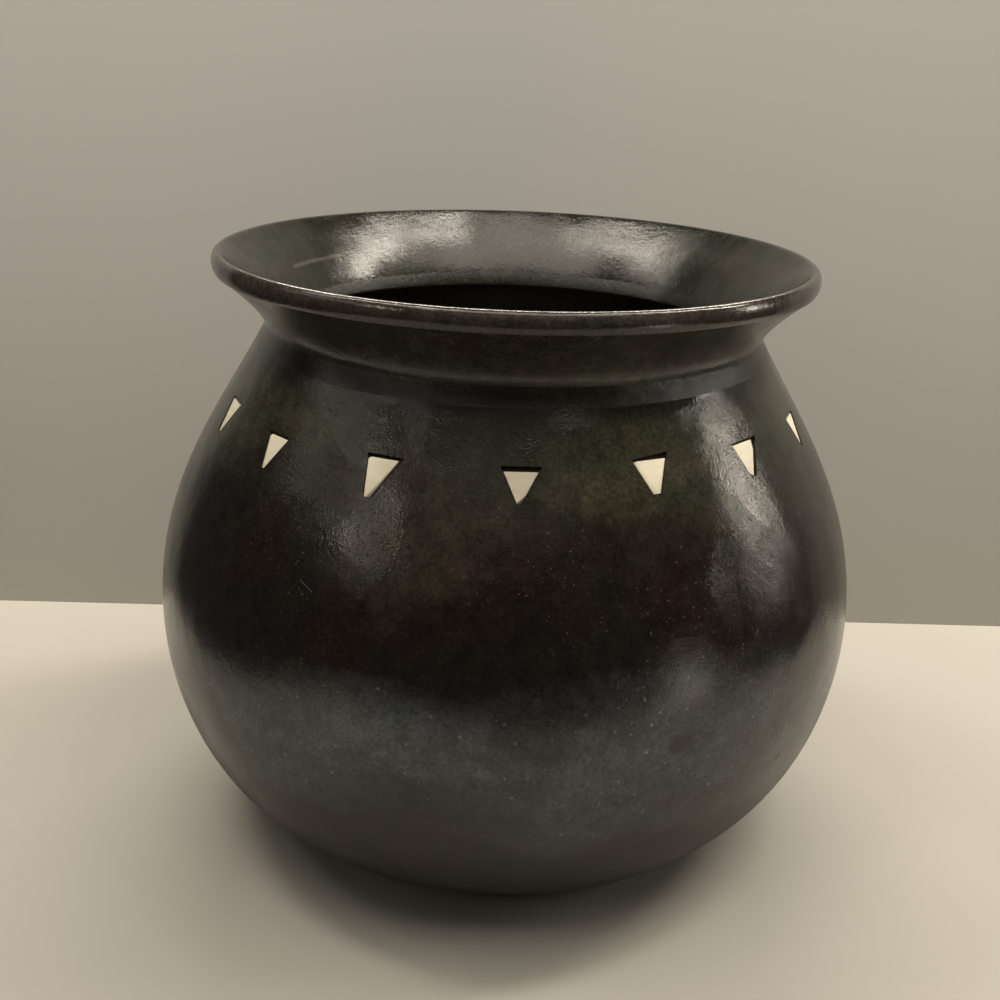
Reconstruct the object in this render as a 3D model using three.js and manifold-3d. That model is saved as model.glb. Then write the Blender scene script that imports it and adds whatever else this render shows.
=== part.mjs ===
// A round burnished clay vase: full belly, drawn-in neck and flared lip, with a ring of small
// hand-cut shell triangles bedded in pockets round the shoulder.
// Millimetres, +Z up, front towards -Y. The origin is the centre of the flat underside.
import * as THREE from 'three';
import { mergeVertices } from 'three/addons/utils/BufferGeometryUtils.js';
import Module from 'manifold-3d';

const degrees = (angle) => THREE.MathUtils.degToRad(angle);

// Vessel
const footRadius = 52; // flat disc that the vase stands on
const bellyRadius = 112.7; // widest point
const bellyHeight = 75;
const creaseRadius = 78; // corner where the shoulder meets the neck, outside
const creaseHeight = 164.2;
const mouthRadius = 93.2; // outermost point of the lip
const rimHeight = 187.2; // top of the lip
const wall = 6.2;
const lipRadius = 3.8; // the lip is rolled a little thicker than the wall

// Run of the wall: how far each stretch keeps its heading before it turns to the next one
const undersideReach = 38;
const lowerSwell = 38.5;
const upperSwell = 39;
const shoulderReach = 29.5;
const neckRise = 9;
const flareReach = 7;

// Headings, as angles from the vertical
const shoulderLean = degrees(28.2); // inwards, just under the crease
const neckLean = degrees(7); // outwards, just above the crease
const flareLean = degrees(40); // outwards, where the neck reaches the lip

// Ring of inlays
const inlayCount = 16;
const inlayHeight = 141.6; // middle of the ring above the table
const firstAzimuth = degrees(-66); // from the front towards +X
const tipWidth = 2; // the lower point of each triangle is cut off square
const inlayThickness = 1.8;
const edgeEase = 0.2; // the edges are rubbed down
const inlayRecess = 0.5; // faces lie a little below the clay
const bedThickness = 0.7; // dark mastic under each inlay
const seatGap = 0.3; // clearance between an inlay, its bed and the pocket
const topGap = 1.4; // pockets were cut long, so a dark gap shows above each inlay
const cutterRise = 4; // how far a pocket cut starts outside the clay

// No two inlays are alike. Going round from the first one: how far it strays along the ring
// and up the wall, its width at the top, its height, and how far its tip leans sideways.
const cuts = [
  { along: -1.4, up: -0.6, width: 9.0, height: 10.4, lean: -1.2 },
  { along: -3.6, up: -1.6, width: 8.2, height: 9.8, lean: -1.2 },
  { along: -1.4, up: -0.5, width: 8.9, height: 10.8, lean: -2.3 },
  { along: 1.0, up: 0.4, width: 9.1, height: 8.5, lean: -0.4 },
  { along: 1.7, up: 1.5, width: 9.8, height: 9.3, lean: 0.4 },
  { along: 2.0, up: 0.7, width: 10.2, height: 9.6, lean: -1.2 },
  { along: 3.0, up: 0.0, width: 8.8, height: 8.6, lean: -1.0 },
];

// Facets
const turns = 64;
const lipSteps = 6;
const throatSteps = 4;
const bellySteps = 10;
const flareSteps = 6;

const clay = { color: 0x17150f, roughness: 0.34, metalness: 0 };
const shell = { color: 0xe0d3b2, roughness: 0.5, metalness: 0 };
const mastic = { color: 0x0e0c0a, roughness: 0.85, metalness: 0 };

// Profile of the vessel, x is the radius and y the height

const at = (radius, height) => new THREE.Vector2(radius, height);
const ahead = (point, lean, reach) => at(
  point.x + reach * Math.sin(lean),
  point.y + reach * Math.cos(lean),
);
const onCircle = (centre, radius, angle) => at(
  centre.x + radius * Math.cos(angle),
  centre.y + radius * Math.sin(angle),
);

const foot = at(footRadius, 0);
const belly = at(bellyRadius, bellyHeight);
const crease = at(creaseRadius, creaseHeight);
const lipCentre = at(mouthRadius - lipRadius, rimHeight - lipRadius);
const lipStart = onCircle(lipCentre, lipRadius, -flareLean);

const underside = new THREE.CubicBezierCurve(
  foot,
  at(foot.x + undersideReach, foot.y),
  at(belly.x, belly.y - lowerSwell),
  belly,
);
const shoulder = new THREE.CubicBezierCurve(
  belly,
  at(belly.x, belly.y + upperSwell),
  ahead(crease, -shoulderLean, -shoulderReach),
  crease,
);
const flare = new THREE.CubicBezierCurve(
  crease,
  ahead(crease, neckLean, neckRise),
  ahead(lipStart, flareLean, -flareReach),
  lipStart,
);

// The inner face of a stretch of wall, listed from its top to its bottom
function innerFace(curve, steps, thickness) {
  const points = [];
  for (let i = steps; i >= 0; i -= 1) {
    const t = i / steps;
    const heading = curve.getTangent(t);
    const outward = at(heading.y, -heading.x);
    points.push(curve.getPoint(t).addScaledVector(outward, -thickness(t)));
  }
  return points;
}

function arc(centre, radius, from, to, steps) {
  const points = [];
  for (let i = 0; i <= steps; i += 1) {
    points.push(onCircle(centre, radius, from + (to - from) * i / steps));
  }
  return points;
}

// The neck wall swells from the plain wall at the crease to the full roll of the lip
const neckThickness = (t) => wall + (2 * lipRadius - wall) * t * t;
const plainThickness = () => wall;

const profile = [
  at(0, 0),
  ...underside.getPoints(bellySteps),
  ...shoulder.getPoints(bellySteps).slice(1),
  ...flare.getPoints(flareSteps).slice(1),
  ...arc(lipCentre, lipRadius, -flareLean, Math.PI - flareLean, lipSteps).slice(1),
  ...innerFace(flare, flareSteps, neckThickness).slice(1),
  ...arc(crease, wall, Math.PI - neckLean, Math.PI + shoulderLean, throatSteps).slice(1),
  ...innerFace(shoulder, bellySteps, plainThickness).slice(1),
  ...innerFace(underside, bellySteps, plainThickness).slice(1),
  at(0, wall),
];

// Solids for cutting

const wasm = await Module();
wasm.setup();

function toSolid(geometry) {
  const bare = geometry.index ? geometry.toNonIndexed() : geometry.clone();
  bare.deleteAttribute('normal');
  bare.deleteAttribute('uv');
  const merged = mergeVertices(bare);
  const corners = merged.index.array;
  const triangles = [];
  for (let i = 0; i < corners.length; i += 3) {
    const [a, b, c] = [corners[i], corners[i + 1], corners[i + 2]];
    if (a !== b && b !== c && c !== a) triangles.push(a, b, c);
  }
  return new wasm.Manifold(new wasm.Mesh({
    numProp: 3,
    vertProperties: new Float32Array(merged.attributes.position.array),
    triVerts: new Uint32Array(triangles),
  }));
}

function toGeometry(solid) {
  const mesh = solid.getMesh();
  const geometry = new THREE.BufferGeometry();
  geometry.setAttribute('position', new THREE.BufferAttribute(mesh.vertProperties, mesh.numProp));
  geometry.setIndex(new THREE.BufferAttribute(mesh.triVerts, 1));
  geometry.computeVertexNormals();
  return geometry;
}

function piece(name, geometry, finish) {
  const mesh = new THREE.Mesh(geometry, new THREE.MeshStandardMaterial(finish));
  mesh.name = name;
  return mesh;
}

// Inlays, each in a seat frame: x along the ring, y up the wall, z out of the clay

// Point and lean of the shoulder at a height, found by halving
function shoulderAt(height) {
  let low = 0;
  let high = 1;
  while (high - low > 1e-6) {
    const middle = (low + high) / 2;
    if (shoulder.getPoint(middle).y < height) low = middle;
    else high = middle;
  }
  const heading = shoulder.getTangent(low);
  return { radius: shoulder.getPoint(low).x, lean: Math.atan2(-heading.x, heading.y) };
}

function seatFrame(index, cut) {
  const height = inlayHeight + cut.up;
  const { radius, lean } = shoulderAt(height);
  const seat = new THREE.Group();
  seat.position.set(0, -radius, height);
  seat.rotation.x = Math.PI / 2 - lean;
  const turn = new THREE.Group();
  turn.rotation.z = firstAzimuth + index * 2 * Math.PI / inlayCount + cut.along / radius;
  turn.add(seat);
  turn.updateMatrixWorld(true);
  return { turn, seat };
}

// Corners of an inlay, anticlockwise from the top left
function inlayCorners({ width, height, lean }) {
  return [
    at(-width / 2, height / 2),
    at(lean - tipWidth / 2, -height / 2),
    at(lean + tipWidth / 2, -height / 2),
    at(width / 2, height / 2),
  ];
}

// Moves each edge of an outline outwards: the two sides and the tip alike, the top by its own
function spread(corners, sides, top) {
  const edges = corners.map((corner, i) => {
    const run = corners[(i + 1) % corners.length].clone().sub(corner).normalize();
    const move = i === corners.length - 1 ? top : sides;
    return { run, start: corner.clone().add(at(run.y, -run.x).multiplyScalar(move)) };
  });
  return edges.map((edge, i) => {
    const before = edges.at(i - 1);
    const reach = edge.start.clone().sub(before.start).cross(edge.run) / before.run.cross(edge.run);
    return before.start.clone().addScaledVector(before.run, reach);
  });
}

// A plate of the given outline between two levels of the seat frame
function plate(corners, bottom, top, ease = 0) {
  const geometry = new THREE.ExtrudeGeometry(new THREE.Shape(corners), {
    depth: top - bottom - 2 * ease,
    bevelEnabled: ease > 0,
    bevelThickness: ease,
    bevelSize: ease,
    bevelOffset: -ease,
    bevelSegments: 1,
    steps: 1,
  });
  return geometry.translate(0, 0, bottom + ease);
}

const inlayTop = -inlayRecess;
const inlayBottom = inlayTop - inlayThickness;
const bedTop = inlayBottom - seatGap;
const bedBottom = bedTop - bedThickness;
const pocketFloor = bedBottom - seatGap;

const vase = new THREE.Group();
const lathe = new THREE.LatheGeometry(profile, turns).rotateX(Math.PI / 2);
let body = toSolid(lathe);

for (let i = 0; i < inlayCount; i += 1) {
  const cut = cuts[i % cuts.length];
  const corners = inlayCorners(cut);
  const { turn, seat } = seatFrame(i, cut);
  const number = String(i + 1).padStart(2, '0');

  const pocket = plate(spread(corners, 2 * seatGap, topGap), pocketFloor, cutterRise);
  body = body.subtract(toSolid(pocket.applyMatrix4(seat.matrixWorld)));

  const bed = plate(spread(corners, seatGap, topGap - seatGap), bedBottom, bedTop);
  seat.add(piece(`inlay_bed_${number}`, bed, mastic));
  const inlay = plate(corners, inlayBottom, inlayTop, edgeEase);
  seat.add(piece(`inlay_${number}`, inlay, shell));
  vase.add(turn);
}

vase.add(piece('vase_body', toGeometry(body), clay));

export default vase;
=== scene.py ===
# A round burnished clay vase: full belly, drawn-in neck and flared lip, with a ring of small
# hand-cut shell triangles bedded in pockets round the shoulder.
import math

import bpy
from mathutils import Euler, Matrix, Vector


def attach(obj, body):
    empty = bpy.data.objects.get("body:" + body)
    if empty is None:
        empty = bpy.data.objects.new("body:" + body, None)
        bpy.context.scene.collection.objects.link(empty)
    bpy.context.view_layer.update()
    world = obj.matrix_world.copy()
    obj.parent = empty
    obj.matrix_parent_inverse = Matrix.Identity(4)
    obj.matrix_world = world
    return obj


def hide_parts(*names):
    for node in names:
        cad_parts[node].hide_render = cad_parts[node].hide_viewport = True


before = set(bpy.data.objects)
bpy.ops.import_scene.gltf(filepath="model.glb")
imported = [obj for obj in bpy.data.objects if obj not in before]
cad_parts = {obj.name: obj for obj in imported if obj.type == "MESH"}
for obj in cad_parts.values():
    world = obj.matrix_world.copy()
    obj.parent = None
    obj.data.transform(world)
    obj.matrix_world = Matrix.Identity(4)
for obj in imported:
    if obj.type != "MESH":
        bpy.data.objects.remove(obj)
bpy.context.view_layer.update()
MM = 0.001


def mm(*values):
    return Vector(values) * MM


# The vessel's section: the first number is the radius, the second the height
FOOT = mm(52, 0)
BELLY = mm(112.7, 75)
CREASE = mm(77.4, 164.2)
MOUTH_RADIUS = 92.8 * MM
RIM_HEIGHT = 186.9 * MM
WALL = 6.2 * MM
LIP_FACE = 4.5 * MM  # the outer face of the lip is a wide roll, its upper edge a tight one
LIP_EDGE = 1.6 * MM
LIP_TURN = math.radians(30)
LIP_FOLD = 0.25 * MM  # the lip is folded over and stands proud of the flare below it
THROAT_EDGE = 1.5 * MM
THROAT_DROP = 1.7 * MM

# Headings of the wall, as angles from the vertical
SHOULDER_LEAN = math.radians(28.2)
NECK_LEAN = math.radians(-5)
FLARE_LEAN = math.radians(37)
THROAT_LEAN = math.radians(18)
INNER_LEAN = math.radians(46)

# How far each stretch of wall keeps its heading before it turns to the next one
UNDERSIDE_REACH = mm(38, 0)
LOWER_SWELL = mm(0, 38.5)
UPPER_SWELL = mm(0, 39)
SHOULDER_REACH = 29.5 * MM
NECK_REACH = 5.7 * MM
FLARE_REACH = 0.8 * MM
INNER_REACH = 8 * MM

# How finely each stretch is drawn: up the outside, over the lip and down the inside
UNDERSIDE_STEPS = 36
SHOULDER_STEPS = 44
FLARE_STEPS = 20
LIP_FACE_STEPS = 10
LIP_EDGE_STEPS = 12
INNER_FLARE_STEPS = 18
THROAT_STEPS = 6
INNER_SHOULDER_STEPS = 20
INNER_UNDERSIDE_STEPS = 16
TURNS = 224

# The neck was pressed a little out of level: higher at the front, by these angles
LEAN_FROM = 150 * MM
LEAN_STEPS = 5
LEAN_FRONT = math.radians(0.703)
LEAN_SIDE = math.radians(0.14)

# Ring of inlays, cut by eye. Each strays along the ring and up the wall, and has its own width,
# height, sideways lean of the tip and width of the tip. The seven of the front go round again.
INLAY_COUNT = 16
INLAY_HEIGHT = 141.6 * MM
FIRST_AZIMUTH = math.radians(-66)
CUTS = (
    (-1.4, -0.6, 9.0, 10.4, -1.2, 1.6),
    (-3.6, -1.6, 8.2, 9.8, -1.2, 0.9),
    (-1.4, -0.5, 8.9, 10.8, -2.3, 1.5),
    (1.0, 0.4, 9.1, 8.5, -0.4, 1.1),
    (1.7, 1.5, 9.8, 9.3, 0.4, 2.1),
    (2.0, 0.7, 10.2, 9.6, -1.2, 1.6),
    (3.0, 0.0, 8.8, 8.6, -1.0, 1.4),
)
# Room that each pocket leaves round its inlay: left, tip, right, top, and the tilt of the top
ROOM = (
    (0.3, 0.3, 0.3, 0.8, 0),
    (0.2, 0.3, 0.3, 0.7, 0),
    (0.2, 0.2, 0.9, 0.9, 0),
    (0.2, 0.3, 0.2, 1.4, 0),
    (0.25, 0.3, 0.2, 1.1, 6),
    (0.2, 0.3, 0.8, 0.6, 0),
    (0.2, 1.2, 0.4, 0.6, 0),
)
# Chips knocked off an inlay: a point on its face, the side that breaks away and the slope there
CHIPS = (
    ((3.4, 4.2, 60, 25),),
    ((2.1, 0.2, -32, 48), (-3.6, 4.6, 130, 20)),
    ((0.1, -1.6, -33, 50), (-4.2, 4.9, 130, 15)),
    ((0.9, -2.3, -48, 35), (0.0, -4.05, -80, 40)),
    ((-4.3, 4.3, 120, 20),),
    ((2.9, 3.0, 25, 74), (-1.7, -4.2, -130, 10)),
    ((-3.2, 3.9, 130, 25),),
)
# Levels of the seat, from the face of the clay, and the fit of its pieces
INLAY_TOP = -0.35 * MM
INLAY_BOTTOM = -2.3 * MM
MASTIC_TOP = -1.2 * MM
MASTIC_BOTTOM = -3.5 * MM
POCKET_FLOOR = -3.6 * MM
CUTTER_RISE = 4 * MM
DRAFT = math.radians(4)
BLANK = 18 * MM
EDGE_EASE = 0.12 * MM
MASTIC_PLAY = 0.06
BED_PLAY = 0.1 * MM

# Edges sharper than this stay crisp
VESSEL_CRISP = 15
CUT_CRISP = 30


def step_from(point, lean, reach):
    return point + Vector((math.sin(lean), math.cos(lean))) * reach


def on_circle(centre, radius, angle):
    return centre + Vector((math.cos(angle), math.sin(angle))) * radius


LIP_CENTRE = Vector(
    (
        MOUTH_RADIUS - LIP_FACE,
        RIM_HEIGHT - LIP_EDGE - (LIP_FACE - LIP_EDGE) * math.sin(LIP_TURN),
    )
)
EDGE_CENTRE = on_circle(LIP_CENTRE, LIP_FACE - LIP_EDGE, LIP_TURN)
LIP_START = on_circle(LIP_CENTRE, LIP_FACE, -FLARE_LEAN)
LIP_END = on_circle(EDGE_CENTRE, LIP_EDGE, math.pi - INNER_LEAN)
THROAT_CENTRE = CREASE - Vector((WALL - THROAT_EDGE, THROAT_DROP))
THROAT = on_circle(THROAT_CENTRE, THROAT_EDGE, math.pi - THROAT_LEAN)
FLARE_END = LIP_START - Vector((math.cos(FLARE_LEAN), -math.sin(FLARE_LEAN))) * LIP_FOLD
UNDERSIDE = (FOOT, FOOT + UNDERSIDE_REACH, BELLY - LOWER_SWELL, BELLY)
SHOULDER = (BELLY, BELLY + UPPER_SWELL, step_from(CREASE, -SHOULDER_LEAN, -SHOULDER_REACH), CREASE)
FLARE = (
    CREASE,
    step_from(CREASE, NECK_LEAN, NECK_REACH),
    step_from(FLARE_END, FLARE_LEAN, -FLARE_REACH),
    FLARE_END,
)
INNER_FLARE = (
    LIP_END,
    step_from(LIP_END, INNER_LEAN, -INNER_REACH),
    step_from(THROAT, THROAT_LEAN, INNER_REACH),
    THROAT,
)


def along(curve, t):
    a, b, c, d = curve
    s = 1 - t
    return a * s**3 + b * (3 * s * s * t) + c * (3 * s * t * t) + d * t**3


def heading(curve, t):
    a, b, c, d = curve
    s = 1 - t
    return ((b - a) * (s * s) + (c - b) * (2 * s * t) + (d - c) * (t * t)).normalized()


def drawn(curve, steps):
    return [along(curve, i / steps) for i in range(steps + 1)]


def inner_face(curve, steps):
    points = []
    for i in range(steps, -1, -1):
        run = heading(curve, i / steps)
        points.append(along(curve, i / steps) - Vector((run.y, -run.x)) * WALL)
    return points


def arc(centre, radius, start, end, steps):
    return [on_circle(centre, radius, start + (end - start) * i / steps) for i in range(steps + 1)]


def vessel_section():
    inner_turn = math.pi - INNER_LEAN
    throat_turn = math.pi - THROAT_LEAN, math.pi + SHOULDER_LEAN
    return (
        [Vector((0, 0)), Vector((FOOT.x * 0.5, 0))]
        + drawn(UNDERSIDE, UNDERSIDE_STEPS)
        + drawn(SHOULDER, SHOULDER_STEPS)[1:]
        + drawn(FLARE, FLARE_STEPS)[1:]
        + arc(LIP_CENTRE, LIP_FACE, -FLARE_LEAN, LIP_TURN, LIP_FACE_STEPS)
        + arc(EDGE_CENTRE, LIP_EDGE, LIP_TURN, inner_turn, LIP_EDGE_STEPS)[1:]
        + drawn(INNER_FLARE, INNER_FLARE_STEPS)[1:]
        + arc(THROAT_CENTRE, THROAT_EDGE, *throat_turn, THROAT_STEPS)[1:]
        + inner_face(SHOULDER, INNER_SHOULDER_STEPS)[1:]
        + inner_face(UNDERSIDE, INNER_UNDERSIDE_STEPS)[1:]
        + [Vector((0, WALL))]
    )


# Handling of pieces


def start(add, name, **settings):
    bpy.ops.object.select_all(action="DESELECT")
    add(**settings)
    piece = bpy.context.active_object
    piece.name = name
    piece.data.name = name
    return piece


def select_only(piece):
    bpy.ops.object.select_all(action="DESELECT")
    bpy.context.view_layer.objects.active = piece
    piece.select_set(True)


def open_up(piece):
    select_only(piece)
    bpy.ops.object.mode_set(mode="EDIT")


def close_up():
    bpy.ops.object.mode_set(mode="OBJECT")


def pick_corners(piece, wanted):
    mesh = piece.data
    mesh.polygons.foreach_set("select", [False] * len(mesh.polygons))
    mesh.edges.foreach_set("select", [False] * len(mesh.edges))
    mesh.vertices.foreach_set("select", [wanted(v.co) for v in mesh.vertices])
    open_up(piece)
    bpy.ops.mesh.select_mode(type="VERT")


def set_in_place(piece, place):
    select_only(piece)
    piece.matrix_world = place
    bpy.ops.object.transform_apply(location=True, rotation=True, scale=True)


def smooth(piece, angle):
    select_only(piece)
    bpy.ops.object.shade_smooth_by_angle(angle=math.radians(angle))


def cut_away(piece, cutter):
    bpy.context.view_layer.objects.active = piece
    cut = piece.modifiers.new("cut", "BOOLEAN")
    cut.operation = "DIFFERENCE"
    cut.solver = "EXACT"
    cut.object = cutter
    bpy.ops.object.modifier_apply(modifier=cut.name)
    bpy.data.objects.remove(cutter)


def dress(piece, finish, node):
    piece.data.materials.clear()
    piece.data.materials.append(finish)
    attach(piece, "root")
    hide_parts(node)


# The vessel


def turn_vessel():
    section = vessel_section()
    vessel = start(bpy.ops.mesh.primitive_plane_add, "clay_vessel", size=MM)
    open_up(vessel)
    bpy.ops.mesh.select_all(action="SELECT")
    bpy.ops.mesh.merge(type="CENTER")
    for here, there in zip(section, section[1:]):
        step = there - here
        bpy.ops.mesh.extrude_vertices_move(TRANSFORM_OT_translate={"value": (step.x, 0, step.y)})
    bpy.ops.mesh.select_all(action="SELECT")
    bpy.ops.mesh.spin(steps=TURNS, angle=math.tau, center=(0, 0, 0), axis=(0, 0, 1))
    bpy.ops.mesh.select_all(action="SELECT")
    bpy.ops.mesh.remove_doubles(threshold=1e-6)
    bpy.ops.mesh.normals_make_consistent(inside=False)
    close_up()
    return vessel


def lean_neck(vessel):
    for i in range(LEAN_STEPS):
        level = LEAN_FROM + (CREASE.y - LEAN_FROM) * i / LEAN_STEPS
        pick_corners(vessel, lambda corner: corner.z > level)
        for axis, angle in (("X", LEAN_FRONT), ("Y", -LEAN_SIDE)):
            bpy.ops.transform.rotate(
                value=angle / LEAN_STEPS, orient_axis=axis, center_override=(0, 0, level)
            )
        close_up()


# Inlays, each in a seat frame: x along the ring, y up the wall, z out of the clay


def own(table, index):
    return table[index % len(table)]


def shoulder_at(height):
    """Radius and lean of the shoulder at a height, found by halving."""
    low, high = 0.0, 1.0
    while high - low > 1e-6:
        middle = (low + high) / 2
        if along(SHOULDER, middle).y < height:
            low = middle
        else:
            high = middle
    run = heading(SHOULDER, low)
    return along(SHOULDER, low).x, math.atan2(-run.x, run.y)


def seat_frame(index):
    stray, up, *_ = own(CUTS, index)
    height = INLAY_HEIGHT + up * MM
    radius, lean = shoulder_at(height)
    azimuth = FIRST_AZIMUTH + index * math.tau / INLAY_COUNT + stray * MM / radius
    return (
        Matrix.Rotation(azimuth, 4, "Z")
        @ Matrix.Translation((0, -radius, height))
        @ Matrix.Rotation(math.pi / 2 - lean, 4, "X")
    )


def inlay_corners(index):
    """Corners of an inlay, anticlockwise from the top left."""
    width, height, lean, tip = (value * MM for value in own(CUTS, index)[2:])
    return (
        Vector((-width / 2, height / 2, 0)),
        Vector((lean - tip / 2, -height / 2, 0)),
        Vector((lean + tip / 2, -height / 2, 0)),
        Vector((width / 2, height / 2, 0)),
    )


def trim(point, outward):
    bpy.ops.mesh.select_all(action="SELECT")
    bpy.ops.mesh.bisect(
        plane_co=point, plane_no=outward, use_fill=True, clear_outer=True, threshold=1e-7
    )


def cut_plate(name, index, bottom, top, room=(0, 0, 0, 0, 0), draft=0.0):
    """A plate cut from a square blank along the outline of one inlay, with room round it."""
    plate = start(bpy.ops.mesh.primitive_cube_add, name, size=BLANK)
    open_up(plate)
    bpy.ops.mesh.select_all(action="SELECT")
    bpy.ops.transform.resize(value=(1, 1, (top - bottom) / BLANK), center_override=(0, 0, 0))
    bpy.ops.transform.translate(value=(0, 0, (top + bottom) / 2))
    corners = inlay_corners(index)
    *sides, tilt = room
    for i, corner in enumerate(corners):
        there = corners[(i + 1) % len(corners)]
        run = (there - corner).normalized()
        outward = Vector((run.y, -run.x, 0))
        side = (corner + there) / 2 + outward * sides[i] * MM
        if there == corners[0]:
            outward.rotate(Euler((0, 0, math.radians(tilt))))
        trim(side, outward * math.cos(draft) - Vector((0, 0, math.sin(draft))))
    return plate


def carve_pockets(vessel):
    cutters = []
    for index in range(INLAY_COUNT):
        cutter = cut_plate("pocket", index, POCKET_FLOOR, CUTTER_RISE, own(ROOM, index), DRAFT)
        close_up()
        set_in_place(cutter, seat_frame(index))
        cutters.append(cutter)
    bpy.ops.object.select_all(action="DESELECT")
    for cutter in cutters:
        cutter.select_set(True)
    bpy.context.view_layer.objects.active = cutters[0]
    bpy.ops.object.join()
    cut_away(vessel, cutters[0])


def cut_inlay(index):
    inlay = cut_plate(f"shell_triangle_{index + 1:02d}", index, INLAY_BOTTOM, INLAY_TOP)
    for x, y, side, slope in own(CHIPS, index):
        turn, rise = math.radians(side), math.radians(slope)
        outward = Vector((math.cos(turn), math.sin(turn), 0)) * math.cos(rise)
        trim(Vector((x * MM, y * MM, INLAY_TOP)), outward + Vector((0, 0, math.sin(rise))))
    bpy.ops.mesh.select_all(action="SELECT")
    bpy.ops.mesh.bevel(offset=EDGE_EASE, segments=2, affect="EDGES")
    close_up()
    set_in_place(inlay, seat_frame(index))
    smooth(inlay, CUT_CRISP)
    return inlay


def press_mastic(index):
    """Mastic that fills the pocket round an inlay, with the bed of the inlay pressed into it."""
    *sides, tilt = own(ROOM, index)
    room = [side - MASTIC_PLAY for side in sides] + [tilt]
    mastic = cut_plate(
        f"mastic_{index + 1:02d}", index, MASTIC_BOTTOM, MASTIC_TOP, room, DRAFT
    )
    close_up()
    bed = cut_plate("bed", index, INLAY_BOTTOM - BED_PLAY, 0, [MASTIC_PLAY] * 4 + [0])
    close_up()
    cut_away(mastic, bed)
    set_in_place(mastic, seat_frame(index))
    smooth(mastic, CUT_CRISP)
    return mastic


# Finishes


class Nodes:
    """A node tree: put() adds a node, sets its plain values and links the rest."""

    def __init__(self, tree):
        self.tree = tree
        self.tree.nodes.clear()

    def put(self, kind, inputs=None, **settings):
        node = self.tree.nodes.new(kind)
        for key, value in settings.items():
            setattr(node, key, value)
        for socket, value in (inputs or {}).items():
            if isinstance(value, bpy.types.NodeSocket):
                self.tree.links.new(value, node.inputs[socket])
            else:
                node.inputs[socket].default_value = value
        return node

    def reckon(self, operation, a, b=0.0, c=0.0):
        return self.put("ShaderNodeMath", {0: a, 1: b, 2: c}, operation=operation).outputs[0]

    def times(self, a, b):
        return self.reckon("MULTIPLY", a, b)

    def greater(self, a, b):
        return self.reckon("MAXIMUM", a, b)

    def plus(self, value, share, amount):
        return self.reckon("MULTIPLY_ADD", share, amount, value)


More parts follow.
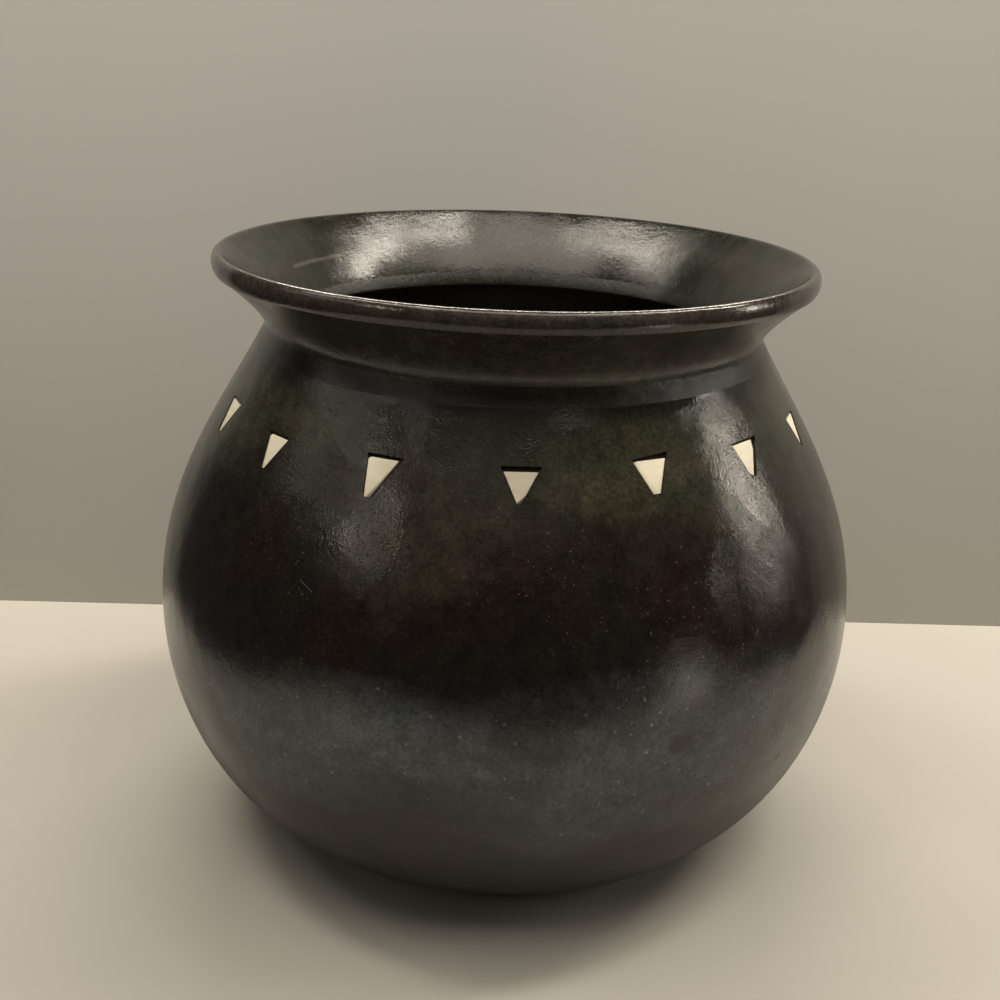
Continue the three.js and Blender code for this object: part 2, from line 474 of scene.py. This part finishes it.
class Finish(Nodes):
    """A node material, with the steps that the finishes below are made of."""

    def __init__(self, name):
        self.material = bpy.data.materials.new(name)
        self.material.use_nodes = True
        super().__init__(self.material.node_tree)

    def place(self):
        return self.put("ShaderNodeTexCoord").outputs["Object"]

    def height(self, place):
        return self.put("ShaderNodeSeparateXYZ", {0: place}).outputs[2]

    def depth(self, place):
        return self.put("ShaderNodeSeparateXYZ", {0: place}).outputs[1]

    def round_the_pot(self, place):
        """Length round the belly, height and radius, so that strokes can follow the wall."""
        x, y, z = self.put("ShaderNodeSeparateXYZ", {0: place}).outputs
        turn = self.reckon("ARCTAN2", x, self.times(y, -1.0))
        radius = self.reckon("SQRT", self.plus(self.times(y, y), x, x))
        parts = {0: self.times(turn, BELLY.x), 1: z, 2: radius}
        return self.put("ShaderNodeCombineXYZ", parts).outputs[0]

    def faces_in(self, place):
        """One on faces that look towards the axis of the pot, nothing on the outside."""
        normal = self.put("ShaderNodeNewGeometry").outputs["Normal"]
        spoke = self.vector("MULTIPLY", place, (1, 1, 0))
        return self.span(self.vector("DOT_PRODUCT", normal, spoke, output=1), 0, -0.005)

    def turned(self, place, angle):
        return self.put(
            "ShaderNodeVectorRotate",
            {"Vector": place, "Angle": math.radians(angle)},
            rotation_type="Z_AXIS",
        ).outputs[0]

    def stretched(self, place, scale):
        return self.put("ShaderNodeMapping", {"Vector": place, "Scale": scale}).outputs[0]

    def noise(self, place, scale, detail=2.0, roughness=0.5, distortion=0.0):
        return self.put(
            "ShaderNodeTexNoise",
            {
                "Vector": place,
                "Scale": scale,
                "Detail": detail,
                "Roughness": roughness,
                "Distortion": distortion,
            },
        ).outputs["Fac"]

    def specks(self, place, scale, radius):
        """Grains scattered through the clay: one where a grain comes within the radius."""
        grains = self.put("ShaderNodeTexVoronoi", {"Vector": place, "Scale": scale})
        return self.span(grains.outputs["Distance"], radius * scale, 0.5 * radius * scale)

    def vector(self, operation, a, b=None, output=0):
        inputs = {0: a} if b is None else {0: a, 1: b}
        return self.put("ShaderNodeVectorMath", inputs, operation=operation).outputs[output]

    def spot(self, place, centre, radius, ragged):
        """A single mark: one at its centre, nothing beyond its radius."""
        far = self.vector("DISTANCE", place, centre, output=1)
        edge = self.span(self.noise(place, 1.5 / radius, 3, 0.6), 0.3, 0.7, -ragged, ragged)
        return self.span(self.plus(far, edge, radius), radius, 0.5 * radius)

    def scratch(self, place, start, end, width):
        """A line scored from one point to another: one along it, nothing beyond its width."""
        run = end - start
        away = self.vector("SUBTRACT", place, start)
        share = self.span(self.vector("DOT_PRODUCT", away, run, output=1), 0, run.length_squared)
        reach = self.scaled(run, share)
        gap = self.vector("LENGTH", self.vector("SUBTRACT", away, reach), output=1)
        return self.span(gap, width, 0.4 * width)

    def span(self, value, low, high, to_low=0.0, to_high=1.0):
        return self.put(
            "ShaderNodeMapRange",
            {"Value": value, 1: low, 2: high, 3: to_low, 4: to_high},
        ).outputs[0]

    def blend(self, share, a, b):
        return self.put("ShaderNodeMix", {0: share, 6: a, 7: b}, data_type="RGBA").outputs[2]

    def stain(self, tint, mark, share, colour):
        return self.blend(self.times(mark, share), tint, colour)

    def blend_place(self, share, a, b):
        return self.put("ShaderNodeMix", {0: share, 4: a, 5: b}, data_type="VECTOR").outputs[1]

    def tinted(self, colour, by):
        return self.vector("MULTIPLY", colour, by)

    def scaled(self, colour, share):
        return self.put("ShaderNodeVectorMath", {0: colour, 3: share}, operation="SCALE").outputs[0]

    def bump(self, height, distance, under=None):
        inputs = {"Height": height, "Distance": distance}
        if under is not None:
            inputs["Normal"] = under
        return self.put("ShaderNodeBump", inputs).outputs[0]

    def surface(self, shader):
        self.put("ShaderNodeOutputMaterial", {"Surface": shader})
        return self.material


# Colours of the clay; a pair is the two ends of a patchy blend
UMBER_FOOT = ((0.0130, 0.0076, 0.0050, 1), (0.0095, 0.0072, 0.0048, 1))
DARK_BELLY = ((0.0135, 0.0083, 0.0067, 1), (0.0102, 0.0088, 0.0072, 1))
OLIVE_SHOULDER = ((0.0180, 0.0166, 0.0112, 1), (0.0400, 0.0386, 0.0237, 1))
NECK_OUT_AND_IN = ((0.0410, 0.0333, 0.0288, 1), (0.0180, 0.0176, 0.0125, 1))
# Dusting on the lower belly; the same pale colour also paints the floor's reflection there
DUST_AND_FLOOR_REFLECTION = (0.068, 0.077, 0.087, 1)
GRIT = (0.25, 0.245, 0.23, 1)
# Painted glints: the colour of sparse pale specks that stand in for sparkle
PAINTED_GLINT = (0.12, 0.115, 0.10, 1)
RED_OR_GREEN_CAST = ((1.07, 0.97, 0.95, 1), (0.95, 1.02, 0.95, 1))
SCUFFED = (0.020, 0.011, 0.007, 1)
PAINTED_PIT_SHADE = (0.004, 0.003, 0.002, 1)
SCRATCHED = (0.11, 0.093, 0.08, 1)

# Heights over which one band of colour gives way to the next
FOOT_TO_BELLY = (44 * MM, 58 * MM)
BELLY_TO_SHOULDER = (122 * MM, 148 * MM)
SHOULDER_TO_NECK = (163 * MM, 167 * MM)
# Belt of dusting and painted floor reflection on the lower belly: where it begins and ends, and how
# it fades towards the back
DUST_AND_REFLECTION_BEGINS = (45 * MM, 64 * MM)
DUST_AND_REFLECTION_ENDS = (97 * MM, 74 * MM)
DUST_AND_REFLECTION_IN_FRONT = (-65 * MM, -108 * MM)
BAND_WANDER = 9 * MM
# Height at which the painted shade that the lip casts on the shoulder is darkest
PAINTED_SHADE_HEIGHT = 161 * MM  # in the crease below the neck

# Two clouds: middle, radius, raggedness, strength and colour
CLOUDS = (
    (mm(27, -78, 157), 28 * MM, 0.25, 0.5, (0.062, 0.060, 0.036, 1)),
    (mm(-20, -96, 132), 26 * MM, 0.4, 0.6, (0.036, 0.030, 0.022, 1)),
)
# Scratches, from point to point, with the width. The first two make one long one in the neck.
SCRATCHES = (
    (mm(-73.7, 27.1, 174.2), mm(-69.8, 36.6, 174.4), 0.9 * MM),
    (mm(-69.8, 36.6, 174.4), mm(-61.4, 49.8, 174.4), 0.9 * MM),
    (mm(-54.1, -90.2, 113.7), mm(-50.5, -93.1, 111.7), 0.25 * MM),
    (mm(68.8, -85.1, 100.1), mm(69.6, -84.3, 101.4), 0.3 * MM),
)

# Depths of the relief in the clay
BEATEN_DEPTH = 1.2 * MM
DENT_DEPTH = 0.22 * MM
STROKE_DEPTH = 0.055 * MM
GRAIN_DEPTH = 0.05 * MM
PIT_DEPTH = 0.5 * MM


def fired_clay(clay, place, height, level):
    """Firing clouds in uneven bands: umber foot, dark belly, olive shoulder, grey neck."""
    patchy = clay.span(clay.noise(place, 17, 3, 0.55, 0.5), 0.38, 0.62)
    umber = clay.blend(patchy, *UMBER_FOOT)
    belly = clay.blend(patchy, *DARK_BELLY)
    shoulder = clay.blend(patchy, *OLIVE_SHOULDER)
    neck = clay.blend(clay.faces_in(place), *NECK_OUT_AND_IN)
    tint = clay.blend(clay.span(level, *FOOT_TO_BELLY), umber, belly)
    tint = clay.blend(clay.span(level, *BELLY_TO_SHOULDER), tint, shoulder)
    tint = clay.blend(clay.span(height, *SHOULDER_TO_NECK), tint, neck)
    for middle, radius, ragged, strength, colour in CLOUDS:
        tint = clay.stain(tint, clay.spot(place, middle, radius, ragged), strength, colour)
    return tint


def dust_and_painted_reflections(clay, place, level, tint):
    """Dust in the burnish of the lower belly, which also serves as a painted reflection of the
    floor, most of it in front; pale grit in the clay; and painted glints, sparse pale specks that
    stand in for sparkle.
    """
    belt = clay.times(clay.span(level, *DUST_AND_REFLECTION_BEGINS), clay.span(level, *DUST_AND_REFLECTION_ENDS))
    belt = clay.times(belt, clay.span(clay.depth(place), *DUST_AND_REFLECTION_IN_FRONT, 0.3, 1.0))
    dust_and_reflection_patches = clay.noise(clay.stretched(place, (1, 1, 2)), 26, 3, 0.5)
    dust_and_reflection = clay.times(belt, clay.span(dust_and_reflection_patches, 0.1, 0.6))
    # Dusting and painted reflection of the floor: a pale, patchy belt, strongest in front
    tint = clay.blend(dust_and_reflection, tint, DUST_AND_FLOOR_REFLECTION)
    grit = clay.times(clay.specks(place, 260, 0.55 * MM), belt)
    tint = clay.stain(tint, grit, 0.7, GRIT)
    # Painted glints: sparse tiny pale specks in the colour stand in for the sparkle of the burnish
    sparse = clay.span(clay.noise(place, 24, 2, 0.5), 0.48, 0.6)
    painted_glint = clay.times(clay.specks(place, 520, 0.3 * MM), sparse)
    return clay.stain(tint, painted_glint, 0.6, PAINTED_GLINT), dust_and_reflection


def mottled(clay, place, height, round_wall, tint):
    """Mottling, fine and broad, with a reddish or a greenish cast, and painted shade in the crease
    below the neck, where the lip shades the shoulder.
    """
    cast = clay.span(clay.noise(place, 75, 3, 0.6), 0.36, 0.64)
    broad = clay.span(clay.noise(round_wall, 190, 3, 0.6), 0.32, 0.68, 0.68, 1.32)
    fine = clay.span(clay.noise(place, 950, 2, 0.6), 0.3, 0.7, 0.6, 1.4)
    tint = clay.tinted(tint, clay.blend(cast, *RED_OR_GREEN_CAST))
    tint = clay.scaled(tint, clay.times(broad, fine))
    # Painted shade: a narrow band at the crease is darkened, where the lip's shadow falls
    from_crease = clay.reckon("ABSOLUTE", clay.reckon("SUBTRACT", height, PAINTED_SHADE_HEIGHT))
    return clay.scaled(tint, clay.span(from_crease, 1.5 * MM, 6 * MM, 0.35, 1.0))


def marked(clay, place, tint):
    """Marks of use: a scuff, a pit with painted shade that colours its hollow near black, and a few
    scratches.
    """
    scuff = clay.spot(place, mm(49.8, -101.1, 74.4), 5 * MM, 0.5)
    tint = clay.stain(tint, scuff, 0.7, SCUFFED)
    pit = clay.spot(place, mm(81.0, -75.8, 56.5), 1.1 * MM, 0.3)
    # Painted shade: the hollow of the pit is coloured near black
    tint = clay.blend(pit, tint, PAINTED_PIT_SHADE)
    scored = 0.0
    for one_end, other_end, width in SCRATCHES:
        scored = clay.greater(scored, clay.scratch(place, one_end, other_end, width))
    return clay.stain(tint, scored, 0.55, SCRATCHED), pit


def worked_face(clay, place, height, round_wall, pit):
    """Hand-beaten wall, burnishing strokes and fine grain. The strokes go up and down the belly,
    leaning one way or the other, and round the neck."""
    neck = clay.span(height, 160 * MM, 166 * MM)
    hands = clay.span(clay.noise(place, 20, 1, 0.5), 0.42, 0.58)
    right_hand = clay.stretched(clay.turned(round_wall, 22), (1, 0.35, 1))
    left_hand = clay.stretched(clay.turned(round_wall, -14), (1, 0.35, 1))
    run = clay.blend_place(hands, right_hand, left_hand)
    run = clay.blend_place(neck, run, clay.stretched(round_wall, (0.35, 1, 1)))
    normal = clay.bump(clay.noise(place, 24, 2, 0.5), BEATEN_DEPTH)
    normal = clay.bump(clay.noise(place, 90, 2, 0.5), DENT_DEPTH, normal)
    normal = clay.bump(clay.noise(run, 900, 2, 0.5), STROKE_DEPTH, normal)
    normal = clay.bump(clay.noise(place, 1900, 1, 0.5), GRAIN_DEPTH, normal)
    return clay.bump(clay.times(pit, -1.0), PIT_DEPTH, normal)


def burnish(clay, place, height, level, dust_and_reflection):
    """Roughness: patchy, duller in the belt of dusting and painted floor reflection on the lower
    belly and at the foot, rubbed brighter at the lip.
    """
    rough = clay.span(clay.noise(place, 70, 3, 0.55), 0.3, 0.7, 0.16, 0.24)
    rough = clay.plus(rough, dust_and_reflection, 0.06)
    rough = clay.plus(rough, clay.span(level, 60 * MM, 34 * MM), 0.28)
    return clay.plus(rough, clay.span(height, 180 * MM, 184 * MM), -0.06)


def burnished_clay():
    clay = Finish("black_clay")
    place = clay.place()
    height = clay.height(place)
    round_wall = clay.round_the_pot(place)
    smoke = clay.noise(clay.stretched(place, (1, 1, 1.7)), 22, 3, 0.5)
    level = clay.plus(height, clay.span(smoke, 0.3, 0.7, -1, 1), BAND_WANDER)

    tint = fired_clay(clay, place, height, level)
    tint, dust_and_reflection = dust_and_painted_reflections(clay, place, level, tint)
    tint = mottled(clay, place, height, round_wall, tint)
    tint, pit = marked(clay, place, tint)
    shader = clay.put(
        "ShaderNodeBsdfPrincipled",
        {
            "Base Color": tint,
            "Roughness": burnish(clay, place, height, level, dust_and_reflection),
            "Normal": worked_face(clay, place, height, round_wall, pit),
            "IOR": 1.5,
        },
    )
    return clay.surface(shader.outputs[0])


def cut_shell():
    shell = Finish("cut_shell")
    place = shell.place()
    growth = shell.noise(shell.stretched(place, (1, 1, 4)), 160, 3, 0.55, 0.5)
    tint = shell.blend(shell.span(growth, 0.3, 0.7), (0.92, 0.86, 0.70, 1), (0.85, 0.78, 0.61, 1))
    normal = shell.bump(shell.noise(place, 1800, 2, 0.5), 0.02 * MM)
    rough = shell.span(growth, 0.3, 0.7, 0.4, 0.55)
    shader = shell.put(
        "ShaderNodeBsdfPrincipled", {"Base Color": tint, "Normal": normal, "Roughness": rough}
    )
    return shell.surface(shader.outputs[0])


def setting_mastic():
    mastic = Finish("setting_mastic")
    lumps = mastic.noise(mastic.place(), 1300, 3, 0.6)
    tint = mastic.blend(lumps, (0.006, 0.005, 0.004, 1), (0.016, 0.013, 0.010, 1))
    normal = mastic.bump(lumps, 0.15 * MM)
    rough = mastic.span(lumps, 0.3, 0.7, 0.7, 0.95)
    shader = mastic.put(
        "ShaderNodeBsdfPrincipled", {"Base Color": tint, "Normal": normal, "Roughness": rough}
    )
    return mastic.surface(shader.outputs[0])


# Setting. The floor and the wall stop short on the left, where the vase reflects a darker room.
FLOOR_SIZE = (0.618, 0.64, 1)
FLOOR_MIDDLE = (0.041, -0.02, 0)
BACKDROP_HEIGHT = 0.275
BACKDROP_SIZE = (0.83, BACKDROP_HEIGHT, 1)
BACKDROP_SHIFT = (0.135, 0, 0)
BACKDROP_AT = (0, 0.128, 0.1375)
BACKDROP_TURN = math.radians(1.41)
BACKDROP_LIGHT = (0.05, 0.27)  # at its foot and at its top
BACKDROP_LIGHT_COLOUR = (1.0, 0.94, 0.82, 1)


def sheet(name, size, middle):
    flat = start(bpy.ops.mesh.primitive_plane_add, name, size=1)
    open_up(flat)
    bpy.ops.mesh.select_all(action="SELECT")
    bpy.ops.transform.resize(value=size, center_override=(0, 0, 0))
    bpy.ops.transform.translate(value=middle)
    close_up()
    return flat


def stage_finish(name, light, dark, scale):
    finish = Finish(name)
    shade = finish.noise(finish.place(), scale, 3, 0.5)
    tint = finish.blend(finish.span(shade, 0.3, 0.7), light, dark)
    return finish, finish.put("ShaderNodeBsdfPrincipled", {"Base Color": tint, "Roughness": 0.8})


def pale_board():
    board = sheet("floor_board", FLOOR_SIZE, FLOOR_MIDDLE)
    finish, shader = stage_finish("pale_board", (0.395, 0.38, 0.345, 1), (0.37, 0.355, 0.32, 1), 6)
    board.data.materials.append(finish.surface(shader.outputs[0]))


def pale_wall():
    wall = sheet("backdrop", BACKDROP_SIZE, BACKDROP_SHIFT)
    set_in_place(
        wall,
        Matrix.Translation(BACKDROP_AT)
        @ Matrix.Rotation(BACKDROP_TURN, 4, "Z")
        @ Matrix.Rotation(math.pi / 2, 4, "X"),
    )
    finish, shader = stage_finish("pale_wall", (0.42, 0.40, 0.36, 1), (0.39, 0.37, 0.33, 1), 5)
    # The lamps reach the wall only at a slant, so it gets a little light of its own to look pale
    rays = finish.put("ShaderNodeLightPath").outputs
    seen = finish.greater(rays["Is Camera Ray"], rays["Is Glossy Ray"])
    seen = finish.greater(seen, rays["Is Transmission Ray"])
    rising = finish.span(finish.height(finish.place()), 0, BACKDROP_HEIGHT, *BACKDROP_LIGHT)
    glow = finish.put(
        "ShaderNodeEmission",
        {"Color": BACKDROP_LIGHT_COLOUR, "Strength": finish.times(seen, rising)},
    )
    lit = finish.put("ShaderNodeAddShader", {0: shader.outputs[0], 1: glow.outputs[0]})
    # It is clear from behind and casts no shadow, so the back of the vase can be seen
    clear = finish.put("ShaderNodeBsdfTransparent")
    back = finish.put("ShaderNodeNewGeometry").outputs["Backfacing"]
    through = finish.greater(back, rays["Is Shadow Ray"])
    mixed = finish.put("ShaderNodeMixShader", {0: through, 1: lit.outputs[0], 2: clear.outputs[0]})
    wall.data.materials.append(finish.surface(mixed.outputs[0]))


# Lamps as strips. Each has its two ends, as an azimuth from behind the vase towards the right and
# an elevation, then its distance, width and watts.
LAMPS = (
    ("right_window", (76, 36), (78, 62), 2.0, 0.24, 20.0),
    ("right_top", (81, 63), (106, 76), 2.0, 0.22, 8.5),
    ("right_low", (85, 24), (87, 7), 2.0, 0.16, 6.6),
    ("right_foot", (88, 10), (88, -3), 2.0, 0.3, 0.6),
    ("left_window", (-76, 53), (-89, 68), 2.0, 0.26, 8.5),
    ("left_top", (-94, 69), (-118, 77), 2.0, 0.22, 4.2),
    ("left_far", (-68, 59), (-54, 49), 2.0, 0.28, 0.75),
    ("left_low", (-91, 51), (-84, 40), 2.0, 0.32, 2.4),
    ("left_side", (-86, 25), (-119, 32), 2.0, 0.28, 1.1),
    ("overhead", (-120, 81), (120, 81), 2.0, 0.26, 2.3),
    ("front_glow", (-124, 56), (124, 56), 2.0, 0.8, 15.5),
    ("front_low", (150, 36), (-150, 36), 2.0, 0.5, 0.47),
    ("left_front", (-133, 26), (-125, 28), 2.0, 0.14, 1.4),
    ("right_front", (100, 52), (126, 52), 2.0, 0.4, 1.0),
    ("behind", (-26, 33), (28, 33), 2.0, 0.36, 26.0),
    ("low_glow", (130, -7), (130, -17), 0.4, 0.05, 0.03),
)
LAMP_COLOUR = (1.0, 0.91, 0.78)
AIM = Vector((0, 0, 0.12))

# The room that lights the vase, and the paler one that the camera sees
DIM_ROOM = ((0.95, 0.97, 1.0, 1), 0.025)
PALE_ROOM = ((0.60, 0.57, 0.51, 1), 1.0)
ROOM_IN_GLOSS = 0.03


def towards(azimuth, elevation):
    turn, rise = math.radians(azimuth), math.radians(elevation)
    level = math.cos(rise)
    return Vector((math.sin(turn) * level, math.cos(turn) * level, math.sin(rise)))


def hang_lamp(name, one_end, other_end, distance, width, watts):
    one, other = towards(*one_end) * distance, towards(*other_end) * distance
    back = (one + other).normalized()
    along_it = (other - one).normalized()
    lamp = bpy.data.lights.new(name, "AREA")
    lamp.shape = "RECTANGLE"
    lamp.size = (other - one).length
    lamp.size_y = width
    lamp.energy = watts
    lamp.color = LAMP_COLOUR
    holder = bpy.data.objects.new(name, lamp)
    turn = Matrix((along_it, back.cross(along_it), back)).transposed()
    holder.matrix_world = Matrix.Translation(AIM + (one + other) / 2) @ turn.to_4x4()
    holder.visible_camera = False
    bpy.context.scene.collection.objects.link(holder)


def light_room():
    world = bpy.data.worlds.new("room")
    bpy.context.scene.world = world
    world.use_nodes = True
    room = Nodes(world.node_tree)
    # The camera and glass see the pale room, dark gloss only a little of it
    rays = room.put("ShaderNodeLightPath").outputs
    seen = room.times(rays["Is Glossy Ray"], ROOM_IN_GLOSS)
    seen = room.greater(rays["Is Transmission Ray"], seen)
    seen = room.greater(rays["Is Camera Ray"], seen)
    dim, pale = (
        room.put("ShaderNodeBackground", {0: colour, 1: strength}).outputs[0]
        for colour, strength in (DIM_ROOM, PALE_ROOM)
    )
    mixed = room.put("ShaderNodeMixShader", {0: seen, 1: dim, 2: pale}).outputs[0]
    room.put("ShaderNodeOutputWorld", {0: mixed})
    for lamp in LAMPS:
        hang_lamp(*lamp)


# Camera: in front, above the lip, looking down, and turned a little on its axis
CAMERA_AT = Vector((0, -0.400, 0.2567))
CAMERA_DOWN = math.radians(20.90)
CAMERA_TURN = math.radians(-0.348)
CAMERA_ROLL = math.radians(1.958)
CAMERA_LENS = 46.33
CAMERA_SENSOR = 36
CAMERA_NEAR = 0.01


def set_up_camera():
    ahead = Vector(
        (
            math.sin(CAMERA_TURN) * math.cos(CAMERA_DOWN),
            math.cos(CAMERA_TURN) * math.cos(CAMERA_DOWN),
            -math.sin(CAMERA_DOWN),
        )
    )
    right = Vector((math.cos(CAMERA_TURN), -math.sin(CAMERA_TURN), 0))
    up = right.cross(ahead)
    across = right * math.cos(CAMERA_ROLL) + up * math.sin(CAMERA_ROLL)
    upright = up * math.cos(CAMERA_ROLL) - right * math.sin(CAMERA_ROLL)
    camera = bpy.data.objects.new("camera", bpy.data.cameras.new("camera"))
    camera.data.sensor_width = CAMERA_SENSOR
    camera.data.lens = CAMERA_LENS
    camera.data.clip_start = CAMERA_NEAR
    turn = Matrix((across, upright, -ahead)).transposed()
    camera.matrix_world = Matrix.Translation(CAMERA_AT) @ turn.to_4x4()
    bpy.context.scene.collection.objects.link(camera)
    bpy.context.scene.camera = camera


bpy.context.scene.view_settings.view_transform = "Standard"
bpy.context.scene.tool_settings.mesh_select_mode = (True, False, False)
set_up_camera()

clay = burnished_clay()
shell = cut_shell()
mastic = setting_mastic()

vessel = turn_vessel()
lean_neck(vessel)
carve_pockets(vessel)
smooth(vessel, VESSEL_CRISP)
dress(vessel, clay, "vase_body")
for index in range(INLAY_COUNT):
    number = f"{index + 1:02d}"
    dress(cut_inlay(index), shell, f"inlay_{number}")
    dress(press_mastic(index), mastic, f"inlay_bed_{number}")

pale_board()
pale_wall()
light_room()
